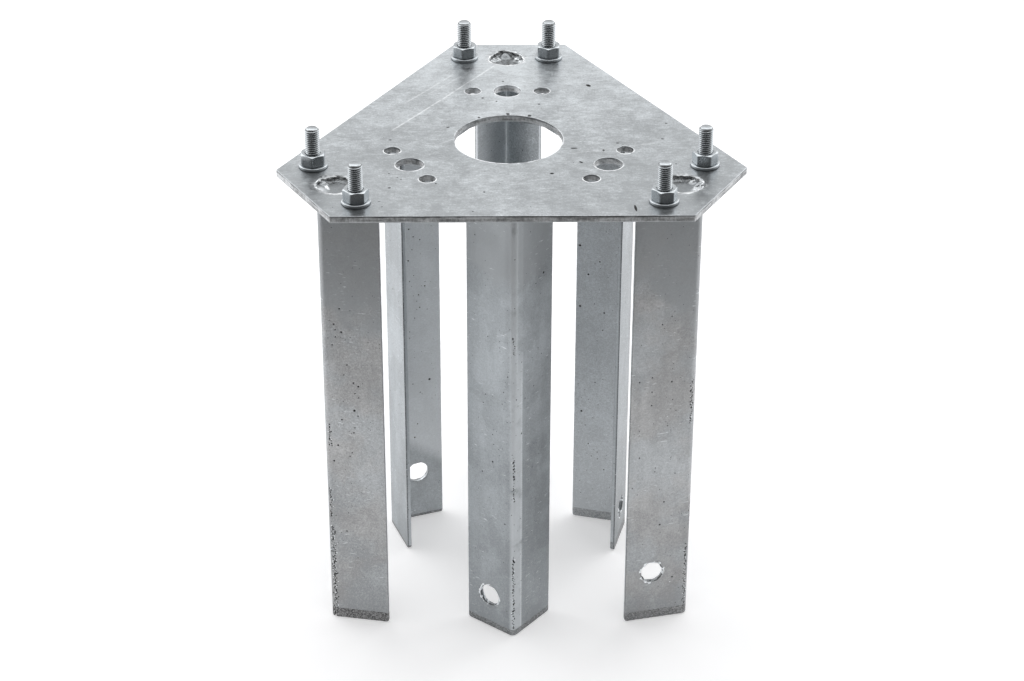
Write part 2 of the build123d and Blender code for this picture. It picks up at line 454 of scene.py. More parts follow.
class Paint:
    """One material, made node by node, or the room's light where it is for the world."""

    def __init__(self, name, world=False):
        self.material = (bpy.data.worlds if world else bpy.data.materials).new(name)
        self.material.use_nodes = True
        self.tree = self.material.node_tree
        self.tree.nodes.clear()
        self.places = self.node("ShaderNodeTexCoord")["Generated" if world else "Object"]

    def node(self, kind, settings=None, sockets=None):
        """Adds a node, gives it its settings, then its sockets' values or links."""
        made = self.tree.nodes.new(kind)
        for key, value in (settings or {}).items():
            setattr(made, key, value)
        for key, value in (sockets or {}).items():
            if isinstance(value, Value):
                self.tree.links.new(value.socket, made.inputs[key])
            else:
                made.inputs[key].default_value = value
        return {out.name: Value(self, out) for out in made.outputs if out.enabled}

    def spots(self, stretch=(1, 1, 1), turn=0.0, shift=0.0):
        """Object coordinates, squeezed, turned about Z by degrees and shifted."""
        sockets = {"Vector": self.places, "Scale": stretch, "Rotation": (0, 0, radians(turn)),
                   "Location": (shift, shift, shift)}
        return self.node("ShaderNodeMapping", {"vector_type": "POINT"}, sockets)["Vector"]

    def axis(self, letter):
        """How far along X, Y or Z a spot lies, in metres."""
        return self.node("ShaderNodeSeparateXYZ", {}, {"Vector": self.places})[letter]

    def cloud(self, size, detail=2.0, stretch=(1, 1, 1), turn=0.0, shift=0.0, roughness=0.5):
        """Noise of 0 to 1 whose features are about a size in millimetres."""
        sockets = {"Vector": self.spots(stretch, turn, shift), "Scale": 1000 / size,
                   "Detail": detail, "Roughness": roughness}
        return self.node("ShaderNodeTexNoise", {}, sockets)["Fac"]

    def mark(self, name):
        """A value that the mesh holds at each of its points."""
        return self.node("ShaderNodeAttribute", {"attribute_name": name})["Fac"]

    def cells(self, size):
        """Zinc's crystals: cells of a size in millimetres, each with its own level."""
        sockets = {"Vector": self.spots(), "Scale": 1000 / size, "Randomness": 1.0}
        found = self.node("ShaderNodeTexVoronoi", {"feature": "SMOOTH_F1"}, sockets)
        return self.node("ShaderNodeSeparateColor", {}, {"Color": found["Color"]})["Red"]

    def lines(self, lines, fading=9):
        """Faint scratches seen from above: (off the middle, way in degrees, start, end, strength)."""
        total = 0
        for off, way, start, end, strength in lines:
            turned = self.node("ShaderNodeVectorRotate", {"rotation_type": "Z_AXIS"}, {
                "Vector": self.places, "Angle": radians(-way)})["Vector"]
            along = self.node("ShaderNodeSeparateXYZ", {}, {"Vector": turned})
            wobble = self.cloud(40, 1, shift=way).swing(2 * mm)
            near = (along["Y"] - off * mm + wobble).size().rise(1.2 * mm, 0.4 * mm)
            begun = along["X"].rise(start * mm, (start + fading) * mm)
            left = along["X"].rise(end * mm, (end - fading) * mm)
            total = total + near * begun * left * strength
        return total * self.cloud(6, 2, shift=6).rise(0.25, 0.5)

    def specks(self, size, share, radius, shift=0.0, stretch=(1, 1, 1)):
        """Small round specks in a share of the cells of a size in millimetres."""
        sockets = {"Vector": self.spots(stretch, 0, shift), "Scale": 1000 / size}
        found = self.node("ShaderNodeTexVoronoi", {}, sockets)
        lot = self.node("ShaderNodeSeparateColor", {}, {"Color": found["Color"]})
        near = found["Distance"].rise(radius / size * 1.2, radius / size * 0.5)
        return near * lot["Red"].rise(share + 0.01, share)

    def mixed(self, first, second, share):
        """A colour that goes from first to second."""
        made = self.tree.nodes.new("ShaderNodeMix")
        made.data_type = "RGBA"
        for key, value in ((0, share), (6, first), (7, second)):
            if isinstance(value, Value):
                self.tree.links.new(value.socket, made.inputs[key])
            else:
                made.inputs[key].default_value = value
        return Value(self, made.outputs[2])

    def coats(self, colour, *coats):
        """A colour under others, each with the share by which it covers what is below."""
        for over, share in coats:
            colour = self.mixed(colour, over, share)
        return colour

    def finish(self, colour, roughness, height, depth):
        """Ends a bare metal. height is 0 to 1, and depth is what 1 stands for, in millimetres."""
        bump = self.node("ShaderNodeBump", {}, {"Height": height, "Distance": depth * mm,
                                                "Strength": 1.0})["Normal"]
        shader = self.node("ShaderNodeBsdfPrincipled", {}, {
            "Base Color": colour, "Roughness": roughness, "Metallic": 1.0,
            "Normal": bump})["BSDF"]
        self.node("ShaderNodeOutputMaterial", {}, {"Surface": shader})
        return self.material


def grey(level, blue=0.0):
    """A zinc grey, a little bluer or warmer."""
    return (level * (1 - 1.15 * blue), level, level * (1 + 0.8 * blue), 1)


paint = Paint("plate_zinc_spangle")
loose, burnt, dent, wall, bright, down, area = (
    paint.mark(name) for name in ("zinc", "burnt", "dent", "wall", "bright", "down", "area"))
clouds = paint.cloud(75, 2)
patches = paint.cloud(20, 4, shift=3, roughness=0.62)
stains = paint.cloud(34, 5, shift=11, roughness=0.55).rise(0.47, 0.56)
spangle = paint.cells(6)
grain = paint.cloud(3.2, 3, stretch=(0.5, 1.5, 1), shift=7, roughness=0.8)
hairs = paint.cloud(3, 2, stretch=(0.12, 5, 1), turn=4, shift=2).rise(0.62, 0.72)
fine_grain = paint.cloud(1.6, 3, shift=1, roughness=0.8)
# Painted reflection: the top is lighter towards the back and darker towards the front
painted_back_light = paint.axis("Y").rise(-0.14, 0.19)
scratches = paint.lines([(89.2, 56.2, -44, 150, 0.9), (111, 54.9, 4, 78, 0.5), (107, 52, 20, 90, 0.3),
                         (28, 38, -60, 40, 0.3), (-40, 15, 40, 120, 0.3)])
pits = paint.specks(15, 0.14, 0.8).most(paint.specks(6, 0.12, 0.5, shift=5))
tone = 0.455 + clouds.swing(0.14) + patches.swing(0.45) + spangle.swing(0.10)
tone = tone + grain.swing(1.05) + fine_grain.swing(1.0) - hairs * 0.15
tone = tone - stains * 0.10 + painted_back_light.swing(0.42) + area
zinc = paint.mixed(grey(0.33, 0.045), grey(0.68, 0.045), tone.rise(0, 1))
# Loose zinc, scratches and the painted highlight on the hole rims, all made whiter
pale_and_painted_light = loose.most(bright * grain.rise(0.1, 0.3)).most(scratches * 0.45)

# The cut edges: the flame's ripples under a crust, and a darker stripe just below the upper arris
ripples = paint.cloud(2.2, 4, stretch=(1, 1, 0.5), shift=9, roughness=0.75)
crust = paint.cloud(11, 4, stretch=(0.5, 0.5, 3), shift=12, roughness=0.6)
cut = paint.mixed(grey(0.26, 0.01), grey(0.74, 0.02), (ripples * 0.4 + crust * 0.6).rise(0.36, 0.64))
upper_dark_band = down.rise(0.2, 0.6) * down.rise(1.7, 1.0) * crust.rise(0.62, 0.42)

burnt_zinc, black, white_zinc_and_highlight = grey(0.16, 0.02), grey(0.03), grey(0.97, 0.02)
colour = paint.coats(
    zinc,
    (burnt_zinc, burnt * patches.rise(0.35, 0.6) * 0.5),
    (black, pits.most(dent.rise(0.0, 0.3))),
    # White for loose zinc and scratches, and as painted highlight on the front of the hole rims
    (white_zinc_and_highlight, pale_and_painted_light),
    # The cut edges, darker just below the upper arris
    (paint.mixed(cut, grey(0.07), upper_dark_band * 0.8), wall),
)
height = (fine_grain * 0.25 + grain * 0.4 - pits * 0.6 + patches * 0.4) * (1 - wall) + ripples * wall
shine = patches.swing(0.25) + grain.swing(0.25) + 0.36 + wall * 0.14 + dent * 0.3
plate_finish = paint.finish(colour, shine, height, 0.14)
base_plate.data.materials.append(plate_finish)
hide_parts("base_plate")
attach(base_plate, "root")


# Legs
# Four millimetre steel strip, folded once along its length, sawn off and galvanised. The fold's
# outer skin cracked here and there, and each leg has one burnt hole at its foot.
leg_height, leg_gauge, flange, fold_round, foot_round = 414, 4, 50, 5, 2.5
foot_hole, foot_hole_offset = 20, 26.5
fold_length = fold_round * pi / 2
floor_level = cad_box[0][2] / mm

# What became of each leg, with the light painted on it: how far its fold lies off the strip's middle,
# where the fold cracked (low, high, how far beside the fold and how widely), up to what height it
# stays light below an upper part that is partly duller zinc and partly painted shade, and how that
# line slopes, how much painted light (above 0) or painted shade (below 0) each of its two flanges
# takes, how grainy its zinc is, how high and how dark its foot is, how far the foot hole's burr stands
# in and round how much of the hole, and its pits, as places across and up the strip and sizes. The
# back corner's strip is narrower than the others.
leg_wear = {
    "back_corner": {
        "fold": 2, "narrower": 8, "cracks": [(20, 60, 0, 1)], "dull_and_shaded": (500, 0),
        "pale_and_painted_light": (0.03, 0.3), "grain": 1.3, "foot": (8, 0.6), "burr": (0.5, 0.5),
        "pits": [(20, 330, 0.5), (62, 300, 0.6), (30, 360, 0.5), (55, 372, 0.6), (24, 290, 0.5)],
    },
    "left_corner": {
        "fold": -1.5, "cracks": [(4, 95, 3.2, 1.8), (105, 135, 2, 1.2), (178, 200, 4, 1)],
        "dull_and_shaded": (331, -0.75), "pale_and_painted_light": (0, 0), "grain": 1, "foot": (9.8, 0.9), "burr": (0.5, 0.5),
        "pits": [(73, 215, 0.9), (58, 179, 0.7), (77, 239, 0.7), (64, 290, 0.7), (54, 163, 0.7),
                 (63, 92, 0.6), (58, 297, 0.6), (63, 312, 0.6), (72, 193, 0.6), (65, 249, 0.5),
                 (62, 205, 0.6), (73, 242, 0.6), (73, 198, 0.5), (59, 285, 0.5), (77, 228, 0.5),
                 (68, 259, 0.5), (59, 292, 0.5), (56, 277, 0.5), (76, 210, 0.5), (74, 232, 0.5),
                 (68, 169, 0.5), (70, 173, 0.5), (72, 65, 0.4), (65, 111, 0.4)],
    },
    "right_corner": {
        "fold": 7, "cracks": [(8, 75, -2.6, 1), (90, 118, 1, 1.2), (198, 240, -3, 1)],
        "dull_and_shaded": (290, -1.15), "pale_and_painted_light": (0, 0), "grain": 0.75, "foot": (9, 0.6), "burr": (1.3, 1),
        "pits": [(42, 41, 0.7), (29, 98, 0.7), (32, 121, 0.6), (35, 241, 0.6), (9, 169, 0.5),
                 (18, 220, 0.5), (7, 244, 0.5), (33, 304, 0.5), (18, 233, 0.5), (23, 153, 0.4),
                 (41, 149, 0.4), (18, 247, 0.5), (25, 297, 0.5)],
    },
    "front_side": {
        "fold": 0, "cracks": [(8, 84, 0, 0.8), (140, 185, 0, 0.6), (284, 300, -0.3, 0.7)],
        "dull_and_shaded": (350, 0), "pale_and_painted_light": (-0.01, -0.06), "grain": 0.6, "foot": (6, 0.65),
        "burr": (0.8, 0.6),
        "pits": [(27, 172, 0.7), (86, 345, 0.9), (76, 339, 0.5), (58, 204, 0.6), (22, 292, 0.4),
                 (74, 243, 0.5), (82, 172, 0.4), (9, 382, 0.4), (43, 261, 0.5), (27, 199, 0.4),
                 (16, 158, 0.5)],
    },
    "right_side": {
        "fold": 0, "cracks": [(15, 50, 0, 1)], "dull_and_shaded": (600, 0), "pale_and_painted_light": (-0.17, 0.28),
        "grain": 1.4, "foot": (9, 0.5), "burr": (0.6, 0.6),
        "pits": [(95, 285, 0.9), (94, 224, 0.9), (72, 220, 0.7), (91, 115, 0.8), (87, 257, 0.8),
                 (77, 271, 0.6), (84, 81, 0.5), (69, 55, 0.5), (73, 202, 0.5), (81, 228, 0.4),
                 (79, 147, 0.5), (81, 68, 0.4)],
    },
    "left_side": {
        "fold": 0, "cracks": [(15, 70, 0, 1)], "dull_and_shaded": (600, 0), "pale_and_painted_light": (0.43, -0.02),
        "grain": 0.8, "foot": (3, 0.7), "burr": (0.2, -0.5),
        "pits": [(11, 146, 0.9), (26, 87, 0.6), (14, 243, 0.6), (28, 302, 0.6), (29, 271, 0.6),
                 (23, 101, 0.5), (19, 222, 0.5), (18, 290, 0.5), (20, 235, 0.5), (20, 134, 0.4),
                 (24, 212, 0.4), (28, 250, 0.4), (24, 294, 0.5), (71, 257, 0.6)],
    },
}
stray_marks, foot_zone = 60, 118

# Inside all legs the fold carries a light painted highlight and is matt so far from its middle. On the
# front leg's outer side a painted highlight stripe, for the light on its rounded fold, starts and ends
# beside the fold, brightest near its end and up to a height, and a stripe of painted shade lies left of
# it. The left side leg's hole flange is darker below a slope, from a height on.
seam_reach = 7.4
band_start, band_end, band_crest, band_height, shade_line = -1.5, 10.5, 9.3, 290, -6
dark_foot, dark_foot_slope = 66, 0.7

foot_holes = {mount["name"][len("foot_hole_"):]: mount for mount in frame["record"]["mounts"]
              if mount["name"].startswith("foot_hole_")}


def scars(name, middle, strip_width, seed):
    """A leg's pits, cracks and stray marks: place, size, and whether each goes in (-1) or stands up."""
    marks = [(*pit, -1) for pit in leg_wear[name]["pits"]]
    for low, high, aside, wide in leg_wear[name]["cracks"]:
        up = low
        while up < high:
            across = 0.8 * rough((up, seed), 6.0, seed) + 2.4 * rough((up, seed), 0.45, seed)
            spot = middle + aside + across * wide
            size = 0.3 + 0.8 * abs(rough((up, seed), 0.7, seed + 4))
            marks.append((spot, up, size, -1))
            if rough((up, seed), 0.6, 9) > -0.1:
                marks.append((spot + 2.5 * rough((up, seed), 0.5, 3), up + 0.6, 0.8 * size, 1))
            up += (0.6 + 2.2 * abs(rough((up, seed), 0.9, seed + 2))) / wide
    for number in range(stray_marks):
        u = strip_width * (0.5 + 0.8 * rough((number * 3.7, seed), 1.3, 1))
        v = leg_height * (0.5 + 0.85 * rough((number * 5.1, seed), 1.1, 2))
        kind = 1 if "right" in name and number % 3 == 0 else -1
        marks.append((u, v, 0.25 + 0.3 * abs(rough((number, seed), 0.7, 3)), kind))
    return marks


def flange_tones(name, across, middle, up):
    """The painted highlight along the fold's outer side, and the painted light and shade on the two
    flanges beside it.
    """
    beside = across - middle
    # Painted light and shade: each flange made lighter or darker by how it faces the light
    pale_and_painted_light = np.where(beside < 0, *leg_wear[name]["pale_and_painted_light"])
    if name == "left_side":
        sloped = dark_foot + dark_foot_slope * across
        pale_and_painted_light -= 0.36 * ramp(up, sloped, sloped - 14) * (beside < 0)
    if name != "front_side":
        return 0 * beside, pale_and_painted_light
    # The front leg's painted highlight stripe beside its fold, strongest near its end
    highlight_band = ramp(beside, band_start, band_start + 0.8) * ramp(beside, band_end, band_end - 0.8)
    highlight_band *= np.clip((band_height - up) / 40, 0.12, 1)
    highlight_band *= 1 + 0.6 * ramp(np.abs(beside - band_crest), 1.3, 0)
    # and a painted highlight on the fold's own line
    fold = np.clip(1.3 - np.abs(beside) / 3, 0, 1)
    return np.maximum(highlight_band, fold), pale_and_painted_light - 0.10 * np.clip(1.5 - np.abs(beside - shade_line) / 2, 0, 1)


def galvanised_leg(name, seed):
    """One leg: a flat strip with its foot hole and its scars, folded to where the frame has it."""
    wear, hole = leg_wear[name], foot_holes[name]
    first = -Vector(hole["axis"])
    second = Vector((-first.y, first.x, 0))
    bend = Vector(hole["pos_m"]) / mm - first * leg_gauge / 2
    width = flange - wear.get("narrower", 0)
    strip_width = 2 * (width - fold_round) + fold_length
    hole_centre = Vector((width - foot_hole_offset, bend.z - floor_level))
    bend -= second * (foot_hole_offset + wear["fold"])
    fold_start = width + wear["fold"] - fold_round
    middle = fold_start + fold_length / 2

    strip = Cut(leg_gauge)
    corners = [(0, 0), (strip_width, 0), (strip_width, leg_height), (0, leg_height)]
    rounds = [foot_round, foot_round, 0, 0]

    # The left corner leg's fold has a small notch at its foot
    if name == "left_corner":
        notch = [(middle + across, up) for across, up in ((0.9, 0), (2.2, 7), (3.5, 0))]
        corners[1:1], rounds[1:1] = notch, [0, 0, 0]
    line = closed_line([Vector(corner) for corner in corners], rounds, step=1.2)
    for point in line:
        if 1 < point.y < leg_height - 2:
            point.x += 0.12 * rough(point, 6, seed)
        elif point.y <= 1:
            point.y += 0.35 * abs(rough(point, 2.0, seed))
    strip.rim(line, arris=0.45)
    burr, burr_share = wear["burr"]
    burnt_hole = round_hole(hole_centre, foot_hole, step=0.6, ripple=0.25, ripple_size=4)
    strip.rim(burnt_hole, arris=0.5, lumps=burr)

    marks = scars(name, middle, strip_width, seed)
    nearest = kdtree.KDTree(len(marks))
    for i, (u, v, _, _) in enumerate(marks):
        nearest.insert((u, v, 0), i)
    nearest.balance()

    def mark_at(u, v):
        """How deep a pit (below 0) or how high a bead stands at a spot of the strip."""
        level = 0
        for _, i, off in nearest.find_range((u, v, 0), 3):
            size, kind = marks[i][2:]
            level += kind * max(0, 1 - (off / size / 1.5) ** 2)
        return max(-1, min(1, level))

    def crumbs(u, v):
        """Lumps of zinc on the burr round the foot hole."""
        off = (Vector((u, v)) - hole_centre).length - foot_hole / 2
        part = max(0, min(1, 2 * burr_share - 0.5 + 2.5 * rough((u, v), 11, seed + 8)))
        return part * max(0, 0.1 + rough((u, v), 2.2, seed + 5)) * max(0, 1 - abs(off - 0.4) / 1.9)

    def leg_place(u, v, depth):
        """A spot of the flat strip, on the folded leg."""
        outer_side = depth < leg_gauge / 2
        lift = 0.10 * rough((u, v / 3), 26, seed) + 0.03 * rough((u, v), 7, seed)
        lift += 0.35 * mark_at(u, v) + (1.5 if outer_side else 0.7) * crumbs(u, v) - skin
        if u < fold_start:
            outer, inwards = second * (fold_start + fold_round - u), first
        elif u < fold_start + fold_length:
            turn = (u - fold_start) / fold_round
            inwards = first * cos(turn) + second * sin(turn)
            outer = (first + second - inwards) * fold_round
        else:
            outer, inwards = first * (u - fold_start - fold_length + fold_round), second
        spot = bend + outer + inwards * (depth - lift if outer_side else depth + lift)
        return spot.x, spot.y, floor_level + v

    def leg_marks(flat, depths):
        """Pits and beads, zinc and burnt steel, the fold's painted highlight, the painted light and
        shade on the flanges, the upper part's duller zinc and painted shade, and the foot.
        """
        found = np.array([mark_at(*point) for point in flat])
        zinc = np.array([crumbs(*point) for point in flat]) * 4
        # The upper part is partly duller zinc and partly painted shade, from where the steel mirrors
        # the dark beyond the table
        top, slope = wear["dull_and_shaded"]
        edge = np.array([top + slope * (point[0] - middle) + 25 * rough(point, 40, seed)
                         + 14 * rough(point, 12, seed) for point in flat])
        off = np.hypot(*(flat - np.array(hole_centre)).T) - foot_hole / 2
        beside = flat[:, 0] - middle
        highlight_band, pale_and_painted_light = flange_tones(name, flat[:, 0], middle, flat[:, 1])
        # Inside the fold a painted highlight; outside, the front leg's painted highlight stripe
        fold_highlight = ramp(np.abs(beside), seam_reach, seam_reach - 2)
        foot, dark_and_shade = wear["foot"]
        alike = np.ones(len(flat))
        return {
            "pit": np.clip(-found, 0, 1),
            "zinc": np.clip(np.maximum(found, zinc), 0, 1),
            "fold_highlight": np.where(depths > leg_gauge / 2, fold_highlight, highlight_band),
            "pale_and_painted_light": pale_and_painted_light,
            "arris": ramp(depths, 0, 0.2) * ramp(depths, 1.5, 0.7),
            "warm": alike * (name in ("left_corner", "right_corner")),
            "grainy": alike * wear["grain"],
            "foot": alike * foot,
            "dark_and_shade": alike * dark_and_shade,
            "dull_and_shaded": ramp(flat[:, 1], edge - 7, edge + 7),
            "height": flat[:, 1],
            "burnt": ramp(np.abs(off), burnt_reach, 0),
            "wall": ramp(np.minimum(depths, leg_gauge - depths), 0, 0.4),
        }

    # Fine points along the fold, at its cracks, round the hole and at the marks, coarse ones
    # elsewhere, and coarser still above the foot
    tight = [(middle - 6, 0, middle + 6, leg_height, 1.1)]
    if name == "front_side":
        tight.append((middle + 6, 0, middle + 12.5, leg_height, 1.3))
    for low, high, aside, wide in wear["cracks"]:
        reach = 2 + 2.4 * wide
        tight.append((middle + aside - reach, low - 2, middle + aside + reach, high + 2, 0.6))
    tight.append(square(*hole_centre, 14, 0.8))
    tight += [square(u, v, 2, 0.6) for u, v, _ in wear["pits"]]
    tight += [square(u, v, 1.2, 0.6) for u, v, _, _ in marks[-stray_marks:]]
    spots = strip.filled([(0, foot_zone, strip_width, leg_height, 3.6),
                          (0, 0, strip_width, foot_zone, 2.2)])
    for area in tight:
        spots = np.concatenate([outside(spots, area), strip.filled([area])])
    return strip.mesh(f"leg_{name}_galvanised", spots, leg_place, leg_marks)


legs = {name: galvanised_leg(name, 11.3 * number) for number, name in enumerate(leg_wear)}

paint = Paint("leg_zinc_spangle")
pit, loose, dull_and_shaded, height, burnt, wall, arris, fold_highlight, pale_and_painted_light, warm, grainy, foot, dark_and_shade = (
    paint.mark(name) for name in ("pit", "zinc", "dull_and_shaded", "height", "burnt", "wall", "arris", "fold_highlight",
                                  "pale_and_painted_light", "warm", "grainy", "foot", "dark_and_shade"))
clouds = paint.cloud(70, 3, stretch=(1, 1, 0.6))
patches = paint.cloud(18, 5, shift=3, roughness=0.6)
stains = paint.cloud(40, 5, shift=11, roughness=0.5).rise(0.49, 0.53)
warmth = paint.cloud(45, 4, shift=21, roughness=0.6)
grain = paint.cloud(1.8, 3, shift=7, roughness=0.85)
fine = paint.cloud(0.9, 2, shift=8, roughness=0.8)
hairs = paint.cloud(2.6, 2, stretch=(0.35, 0.35, 2.2), shift=2).rise(0.66, 0.73)
streaks = paint.cloud(10, 3, stretch=(1, 1, 0.15), shift=4)
tone = 0.475 + clouds.swing(0.6) + patches.swing(0.45)
tone = tone + (grain.swing(1.3) + fine.swing(0.9)) * grainy
tone = tone + streaks.swing(0.3) - stains * 0.09 - height.rise(170, 30) * 0.18
cold = paint.mixed(grey(0.30, 0.055), grey(0.61, 0.055), tone.rise(0, 1))
mild = paint.mixed(grey(0.29, 0.0), grey(0.59, 0.0), tone.rise(0, 1))
# Painted shade where a flange's painted light is below 0
darker = (0 - pale_and_painted_light).most(0)
crowd = paint.cloud(35, 2, shift=17).rise(0.42, 0.56)
dark_steel = paint.mixed(grey(0.035), grey(0.36), (grain * 0.5 + fine * 0.5).rise(0.42, 0.60))
# Darker towards each leg's foot, up to the foot height and by the darkness given for it
ends = (foot - height).rise(-0.4, 0.4) * dark_and_shade
specks = paint.specks(4.5, 0.28, 0.46) * crowd
specks = specks.most(paint.specks(11, 0.2, 0.6, shift=4)).most(paint.specks(3, 0.06, 0.4, shift=8))
# Zinc colours; the lightest one also lays on painted light and highlights
dull_shaded_zinc, wall_zinc, pale_zinc_and_highlight, drawn_zinc = (
    grey(0.365, 0.04), grey(0.66, 0.05), grey(0.92, 0.03), grey(0.90, 0.03))
shaded_zinc, edge_black, black = grey(0.06), grey(0.05, 0.04), grey(0.05)
colour = paint.coats(
    cold,
    (mild, warm * (warmth.rise(0.42, 0.62) * 0.5 + 0.4)),
    # The upper part: duller zinc with painted shade
    (dull_shaded_zinc, dull_and_shaded * (patches * 0.5 + 0.42)),
    # Painted light on the flanges that face the light, and painted highlights along the fold
    (pale_zinc_and_highlight, pale_and_painted_light.most(fold_highlight * patches.rise(0.2, 0.5) * 0.52)),
    # Painted shade on the flanges that face away from it
    (shaded_zinc, darker),
    (wall_zinc, wall * 0.45),
    (edge_black, arris * (grain * 0.4 + fine * 0.6).rise(0.35, 0.5) * 0.85),
    (drawn_zinc, hairs * crowd * 0.55),
    # Darker steel at each foot, and burnt steel round the foot hole
    (dark_steel, ends.most(burnt * grain.rise(0.45, 0.6) * 0.6)),
    (black, pit.rise(0.1, 0.6).most(specks)),
    (pale_zinc_and_highlight, loose.rise(0.15, 0.6)),
)
bumps = grain * 0.5 + patches * 0.4 + fine * 0.2 - specks * 0.5
shine = patches.swing(0.25) + grain.swing(0.25) + 0.40 + fold_highlight * 0.2
leg_finish = paint.finish(colour, shine, bumps, 0.14)
for name, leg in legs.items():
    leg.data.materials.append(leg_finish)
    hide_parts(f"leg_{name}")
    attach(leg, "root")


# Plug welds
# The ragged plug holes are closed from below by a pool of weld metal on the leg's end. It set as a
# smooth grey floor that climbs the far wall in crumbs, and each pool froze in its own heaps. Painted
# shade darkens the crumbs by the far wall, and the back pool's floor.
pool_floor, pool_rings, pool_steps = -4.35, 36, 160
pool_overlap, pool_gap = 0.3, 0.02

# Heaps: the way and distance from the hole's middle, radius, height, how crumbly and how white
pool_heaps = {
    "back": [(95, 10.5, 6.5, 3.6, 0.1, 0), (150, 8, 3.5, 1.8, 0.8, 0.9), (172, 11.5, 4, 2.2, 0.8, 0.9),
             (18, 9.5, 4, 2.6, 0.8, 1), (355, 12.5, 3.5, 2, 0.8, 0.8)],
    "left": [(198, 15, 13, 4.2, 0.1, 0.35), (172, 6.5, 3.5, 1.8, 0.6, 1), (195, 6, 3, 1.4, 0.6, 1),
             (240, 15, 8, 3.6, 0.1, 0.3), (140, 12, 5, 2.5, 0.5, 0.2)],
    "right": [(5, 13.5, 8, 3.4, 0.9, 0.6), (335, 11, 6, 2.4, 0.9, 0.7), (50, 12, 5, 2.2, 0.7, 0.5)],
}


def frozen(corner, centre, spot, far, edge):
    """How high the pool stands at a spot, how white it is there and how much painted shade it takes."""
    crumbly = rough(spot, 1.3, 3) * 0.8 + rough(spot, 3.1, 5) * 0.7
    climb = 1.6 * far * edge * (0.7 + crumbly)
    white, covered = 0.2 * far * edge * max(0, crumbly), 0
    for way, off, radius, height, crumb, whiteness in pool_heaps[corner]:
        near = max(0, 1 - (spot - centre - towards(way, off)).length / radius)
        near = near * near * (3 - 2 * near)
        climb = max(climb, height * near * (1 + crumb * crumbly))
        covered = max(covered, near)
        white = max(white, whiteness * min(1, 1.6 * near) * (1 - crumb + crumb * (0.6 + crumbly)))
    # Painted shade by the far wall of each pool, and over the back pool's floor too, less under heaps
    shaded_floor = 0.8 if corner == "back" else 0.12
    dark_and_shade = max(far, shaded_floor) * (0.45 + 1.1 * crumbly) * (1 - 0.8 * min(1, 2 * covered))
    level = pool_floor + 0.2 * rough(spot, 7, 2) + 0.35 * edge**2 + climb
    return min(level, -0.45), min(1, max(0, white)), min(1, max(0, dark_and_shade))


def weld_pool(corner, centre, shape):
    """The pool in one plug hole: rings of points out to the ragged rim, a wall and a flat bottom."""
    spots, whites, painted_shades, polygons = [], [], [], []
    ways = [Vector((cos(2 * pi * i / pool_steps), sin(2 * pi * i / pool_steps)))
            for i in range(pool_steps)]
    for ring in range(pool_rings):
        share = (ring + 0.5) / (pool_rings - 0.5)
        edge = max(0, (share - 0.72) / 0.28)
        for i, out in enumerate(ways):
            rim = plug_hole / 2 * shape(2 * pi * i / pool_steps) + pool_overlap
            spot = centre + out * share * rim
            far = max(0, min(1, (out.y * share - 0.15) / 0.6))
            level, white, dark_and_shade = frozen(corner, centre, spot, far, edge)
            spots.append((spot.x, spot.y, level))
            whites.append(white)
            painted_shades.append(dark_and_shade)
    bottom = len(spots)
    underside = -plate_thickness + pool_gap
    spots += [(x, y, underside) for x, y, _ in spots[-pool_steps:]]
    spots.append((centre.x, centre.y, underside))
    for i in range(pool_steps):
        j = (i + 1) % pool_steps
        for ring in range(pool_rings):
            low, high = ring * pool_steps, (ring + 1) * pool_steps
            polygons.append((low + i, high + i, high + j, low + j))
        polygons.append((bottom + i, len(spots) - 1, bottom + j))
    polygons.append(tuple(range(pool_steps)))
    mesh = smooth_mesh(f"plug_weld_{corner}", spots, polygons)
    for key, values in (("zinc", whites), ("dark_and_shade", painted_shades)):
        note(mesh, key, values + [0] * (len(spots) - len(values)))
    return placed(f"plug_weld_{corner}", mesh)


paint = Paint("plug_weld_zinc")
loose, dark_and_shade = paint.mark("zinc"), paint.mark("dark_and_shade")
grain = paint.cloud(1.2, 3)
patches = paint.cloud(7, 2, shift=5)
floor_zinc = paint.mixed(grey(0.20, 0.05), grey(0.36, 0.05), patches * 0.5 + grain * 0.5)
# Painted shade first, then white zinc over it
colour = paint.coats(floor_zinc, (grey(0.05), dark_and_shade), (grey(0.80, 0.03), loose))
pool_finish = paint.finish(colour, 0.4 - grain.swing(0.2), grain * 0.5 + loose, 0.2)
for corner, (centre, shape) in zip(pool_heaps, plugs):
    pool = weld_pool(corner, centre, shape)
    pool.data.materials.append(pool_finish)
    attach(pool, "root")


# Welds
# Steel fillet runs, one inside each leg's fold, laid by hand under the plate. They hold the legs to
# it, and were galvanised over with the rest.
paint = Paint("weld_zinc_beads")
beads = paint.cloud(3, 2, stretch=(1, 1, 0.4))
colour = paint.mixed(grey(0.25), grey(0.55), beads)
weld_finish = paint.finish(colour, beads.swing(0.2) + 0.45, beads, 0.4)
for name in leg_wear:
    weld = frame["nodes"][f"weld_{name}"]
    weld.data.materials.clear()
    weld.data.materials.append(weld_finish)


# Bolts
# Six M12 hexagon bolts of zinc-plated steel, put up through the plate from below. Each has a rolled
# thread and a chamfered end.
pitch, crest, head_height, hexagon, hexagon_round = 1.75, 6.0, 7.5, 19, 0.25
end_chamfer, thread_start = 1.7, 0.5
crown, crown_slope = 9, tan(radians(30))
bolt_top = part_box("bolts")[1].z / mm
thread_depth = 0.5 * pitch


